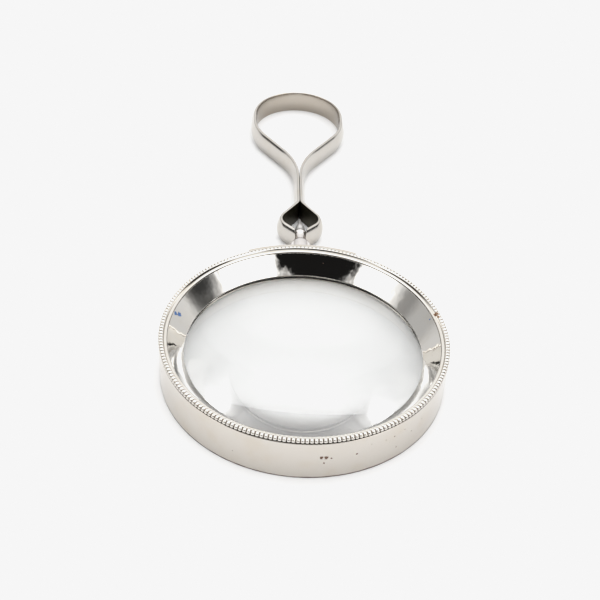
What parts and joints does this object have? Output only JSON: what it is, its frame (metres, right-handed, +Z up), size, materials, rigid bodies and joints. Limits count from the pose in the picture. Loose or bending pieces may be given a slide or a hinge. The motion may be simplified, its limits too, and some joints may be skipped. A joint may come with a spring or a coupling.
{
  "type": "magnifying glass",
  "caption": "Round flat-lying magnifier with a milled rim, polished funnel and biconvex lens, on a bent strip handle with a finger loop.",
  "frame": {"origin": "middle of the footprint, on the surface that the magnifier lies on", "axes": "+Z up along the lens axis, +Y from the lens towards the finger loop, +X to the right"},
  "size_m": [0.06, 0.136, 0.0104],
  "materials": {
    "barrel_nickel": "worn bright nickel plate on brass",
    "mirror_nickel": "mirror-polished nickel plate",
    "rim_nickel": "milled nickel plate, copper showing in the grooves",
    "handle_nickel": "soft satin nickel plate",
    "blackened_brass": "blackened",
    "lens_glass": "polished"
  },
  "bodies": {
    "lens_cell": {"barrel": "barrel_nickel", "seat_ring": "barrel_nickel", "lens": "lens_glass", "lens_washer": "blackened_brass", "funnel_ring": "mirror_nickel", "milled_ring": "rim_nickel", "saddle_plate": "barrel_nickel", "stud": "handle_nickel"},
    "handle": {"handle_band": "handle_nickel"}
  },
  "joints": [
    {"name": "handle_swivel", "type": "hinge", "parent": "lens_cell", "child": "handle", "pos_m": [0, 0.0039, 0.0028], "axis": [0, 1, 0], "continuous": true}
  ]
}
